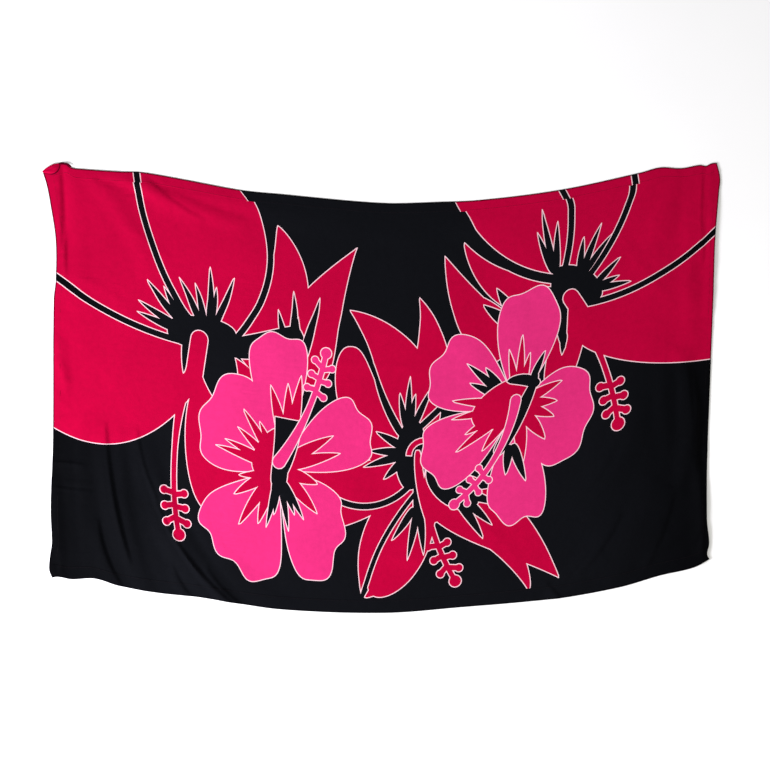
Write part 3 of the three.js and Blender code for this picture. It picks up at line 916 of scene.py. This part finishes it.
EDGE_ROWS = (1.2, 3.2)  # rows of points along a band's long edges, this far inside them
EDGE_ROUND = 3.0  # how far in from its edges a band's rounding reaches
EDGE_SHARE = 0.35  # of its wall that a band keeps at its edges


def make_band(name, low_y, high_y, print_shift, seam_y):
    """A long hem's turned band, lying on the panel's edge, with its print moved on by the turning."""
    rows = [low_y + inset for inset in EDGE_ROWS] + [high_y - inset for inset in reversed(EDGE_ROWS)]
    cut, triangles, middle = triangulated(
        (-HALF_WIDTH, low_y + print_shift), (HALF_WIDTH, high_y + print_shift), HEM_SPACING,
        print_shift, [y + print_shift for y in rows])
    dyes = dye_names(middle)
    cut = cut - [0, print_shift]
    spots = plan(cut)
    inward = np.minimum.reduce([cut[:, 1] - low_y, high_y - cut[:, 1],
                                cut[:, 0] + HALF_WIDTH, HALF_WIDTH - cut[:, 0]])
    edge = np.clip(1 - inward / EDGE_ROUND, 0, 1)
    wall = BAND_WALL * (EDGE_SHARE + (1 - EDGE_SHARE) * np.sqrt(1 - edge ** 2))
    base = cloth_height(spots) * pressed(HALF_HEIGHT - cut[:, 1])
    base += BAND_LIFT + np.maximum(hem_relief(cut), 0)
    to_seam = np.abs(cut[:, 1] - seam_y)
    upper = base + wall + 0.12 * seam_pucker(cut[:, 0], 26, 0, 2.2, 83) * bell(to_seam, 8)
    upper -= 0.3 * bell(to_seam - 2.5, 1.3)
    return shell(name, placed(spots, upper), placed(spots, base), triangles, dyes, cut, hemmed)


# Turned leaves at the top left corner: tip, root, outer reach, inner reach, arch, base, rim, dye. Faces
# below the rim, across the leaf, are painted shade.
CORNER_LEAF = ((-907, 577), (-859, 599), 6, 20, 5.0, 2.7, -0.82, "crimson")
# A small dark sheet on the top edge, all painted shadow: the shadow inside the rolled edge.
ROLLED_EDGE_PAINTED_SHADOW = ((-863, 597), (-825, 587), 9.5, -3.5, 1.5, 3.4, 1.0, "shade")
LEAF_WALL = 1.0
LEAF_SKEW = 1.25  # above 1 the leaf is widest nearer its root
LEAF_STEPS = (46, 30)  # along and across
LEAF_PRINT = ((-890, 480), (-820, 540))  # the part of the cut that its print and weave come from


def make_leaf(name, tip, root, outer, inner, arch, base_lift, rim, dye):
    """A leaf of turned cloth arched over the hems, with painted shade where its rim rolls under."""
    tip, root = np.array(tip, float), np.array(root, float)
    along = root - tip
    aside = left_of(along) / np.hypot(*along)
    steps, rows = LEAF_STEPS
    s, q = np.meshgrid(np.linspace(0.04, 0.96, steps + 1), np.linspace(-1, 1, rows + 1))
    s, q = s.ravel(), q.ravel()
    full = np.sin(math.pi * s ** LEAF_SKEW) ** 0.7
    away = full * ((outer - inner) / 2 + q * (outer + inner) / 2)
    spots = tip + np.outer(s, along) + np.outer(away, aside)
    crease = 0.7 * np.sin(9 * s + 4 * q) - 1.3 * bell(q - 0.35, 0.16)
    rise = full * (1 - q ** 2) * (arch + crease * min(arch / 5, 1))
    from_top = edge_value(TOP_EDGE, spots[:, 0]) - spots[:, 1]
    lower = cloth_height(spots) * pressed(from_top) + base_lift + np.maximum(rise, 0)
    number = np.arange((steps + 1) * (rows + 1)).reshape(rows + 1, steps + 1)
    a, b = number[:-1, :-1].ravel(), number[:-1, 1:].ravel()
    c, d = number[1:, 1:].ravel(), number[1:, :-1].ravel()
    triangles = np.concatenate([beside(a, b, c), beside(a, c, d)])
    # painted shade: the faces along the rim that rolls under take the dark shade dye
    dyes = np.where(q[triangles].mean(1) < rim, DYE_ORDER.index("shade"), DYE_ORDER.index(dye))
    return shell(name, placed(spots, lower + LEAF_WALL), placed(spots, lower), triangles, dyes,
                 np.clip(spots, *LEAF_PRINT), printed)


STITCH_PITCH = 4.2
STITCH_LENGTH = 3.0
STITCH_SIDES = 6
# Each ring's place as a share of the stitch's length, its height and its radius
STITCH_RINGS = np.array([(-0.5, -0.28, 0.12), (-0.32, -0.05, 0.28),
                         (0.32, -0.05, 0.28), (0.5, -0.28, 0.12)])
LONG_INSET = 3  # of the stitches from a long hem's inner edge
SIDE_INSET = 2
ROW_CLEARANCE = 5  # a row of stitches ends this far short of the hem or edge that it meets


def stitch_rows():
    """Both ends of each row on the cut, and how high the cloth's face lies there over its underside."""
    end = HALF_WIDTH - ROW_CLEARANCE
    low, high = BOTTOM_SEAM + ROW_CLEARANCE, TOP_SEAM - ROW_CLEARANCE
    rows = [((-end, y), (end, y), BAND_LIFT + BAND_WALL)
            for y in (TOP_SEAM + LONG_INSET, BOTTOM_SEAM - LONG_INSET)]
    return rows + [((x, low), (x, high), CLOTH_WALL + 0.25)
                   for x in (LEFT_HEM - SIDE_INSET - HALF_WIDTH, HALF_WIDTH - RIGHT_HEM + SIDE_INSET)]


def stitch_points(cut, rise):
    """Rings of points round one stitch, whose middle line lies over these places of the cut."""
    _, heights, radii = STITCH_RINGS.T
    spots = plan(cut)
    height = cloth_height(spots) * pressed(HALF_HEIGHT - cut[:, 1])
    height += rise + heights
    middle = beside(spots, height)
    forward = middle[-1] - middle[0]
    forward /= np.linalg.norm(forward)
    aside = np.cross([0, 0, 1], forward)
    aside /= np.linalg.norm(aside)
    up = np.cross(forward, aside)
    turns = [2 * math.pi * side / STITCH_SIDES for side in range(STITCH_SIDES)]
    return [spot + radius * (aside * math.cos(turn) + up * math.sin(turn))
            for spot, radius in zip(middle, radii) for turn in turns]


def make_stitches():
    """One row of short stitches along each hem's inner edge, half sunk in the cloth."""
    points, faces = [], []
    rings = len(STITCH_RINGS)
    for start, end, rise in stitch_rows():
        start, end = np.array(start, float), np.array(end, float)
        length = np.hypot(*(end - start))
        way = (end - start) / length
        for number in range(int(length / STITCH_PITCH)):
            places = STITCH_RINGS[:, 0] * STITCH_LENGTH + (number + 0.5) * STITCH_PITCH
            ring = len(points) + np.arange(STITCH_SIDES)
            points += stitch_points(start + np.outer(places, way), rise)
            first_cap = ring[::-1].tolist()
            for _ in range(rings - 1):
                around, above = np.roll(ring, -1), ring + STITCH_SIDES
                faces += beside(ring, around, around + STITCH_SIDES, above).tolist()
                ring = above
            faces += [first_cap, ring.tolist()]
    points = np.array(points)
    points = placed(points[:, :2], points[:, 2]).tolist()
    return add_piece("hem_stitches", points, faces, thread_material())


panel = make_panel()
top_band = make_band("hem_top_cloth", TOP_SEAM, HALF_HEIGHT, HIDDEN_TURNING, TOP_SEAM)
bottom_band = make_band("hem_bottom_cloth", -HALF_HEIGHT, BOTTOM_SEAM, -HIDDEN_TURNING, BOTTOM_SEAM)
turned_corner = make_leaf("corner_fold_cloth", *CORNER_LEAF)
# the rolled edge is a small sheet of painted shadow
rolled_edge_painted_shadow = make_leaf("corner_rolled_edge_painted_shadow", *ROLLED_EDGE_PAINTED_SHADOW)
stitches = make_stitches()

for piece in (panel, top_band, bottom_band, turned_corner, rolled_edge_painted_shadow, stitches):
    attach(piece, "root")
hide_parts("body_panel", "hem_left", "hem_right")
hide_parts("hem_top")
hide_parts("hem_bottom")
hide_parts("corner_fold")

# ---- The studio, in metres ----
FLOOR_HALF = 9.0
FLOOR_LEVEL = -0.0005
CAMERA_PLACE = (0.0107 + CENTRING[0] * MM, 0.0075 + CENTRING[1] * MM, 5.72)

floor_corners = [(x * FLOOR_HALF, y * FLOOR_HALF, FLOOR_LEVEL)
                 for x, y in ((-1, -1), (1, -1), (1, 1), (-1, 1))]
floor = add_piece("floor", floor_corners, [(0, 1, 2, 3)], floor_material())


def area_light(name, place, aim, size, power, colour):
    data = bpy.data.lights.new(name, "AREA")
    data.shape = "RECTANGLE"
    data.size, data.size_y = size
    data.energy = power
    data.color = colour
    direction = np.array(aim, float) - np.array(place, float)
    yaw = math.atan2(direction[1], direction[0])
    pitch = math.atan2(np.hypot(direction[0], direction[1]), -direction[2])
    add_object(name, data, place, (pitch, 0, yaw - math.pi / 2))


area_light("key", (-2.5, -1.2, 1.75), (-0.1, 0.0, 0.0), (1.6, 1.2), 190, (1.0, 0.99, 1.08))
area_light("fill", (1.4, -1.6, 3.4), (0.1, 0.0, 0.0), (3.0, 3.0), 40, (1.0, 0.96, 0.80))

world = bpy.data.worlds.new("studio")
world.use_nodes = True
background = world.node_tree.nodes["Background"]
background.inputs["Color"].default_value = (1.0, 1.0, 1.0, 1)
background.inputs["Strength"].default_value = 0.62
bpy.context.scene.world = world

camera_data = bpy.data.cameras.new("camera")
camera_data.sensor_width = 36
camera_data.lens = 100
bpy.context.scene.camera = add_object("camera", camera_data, CAMERA_PLACE)
bpy.context.scene.view_settings.view_transform = "Standard"
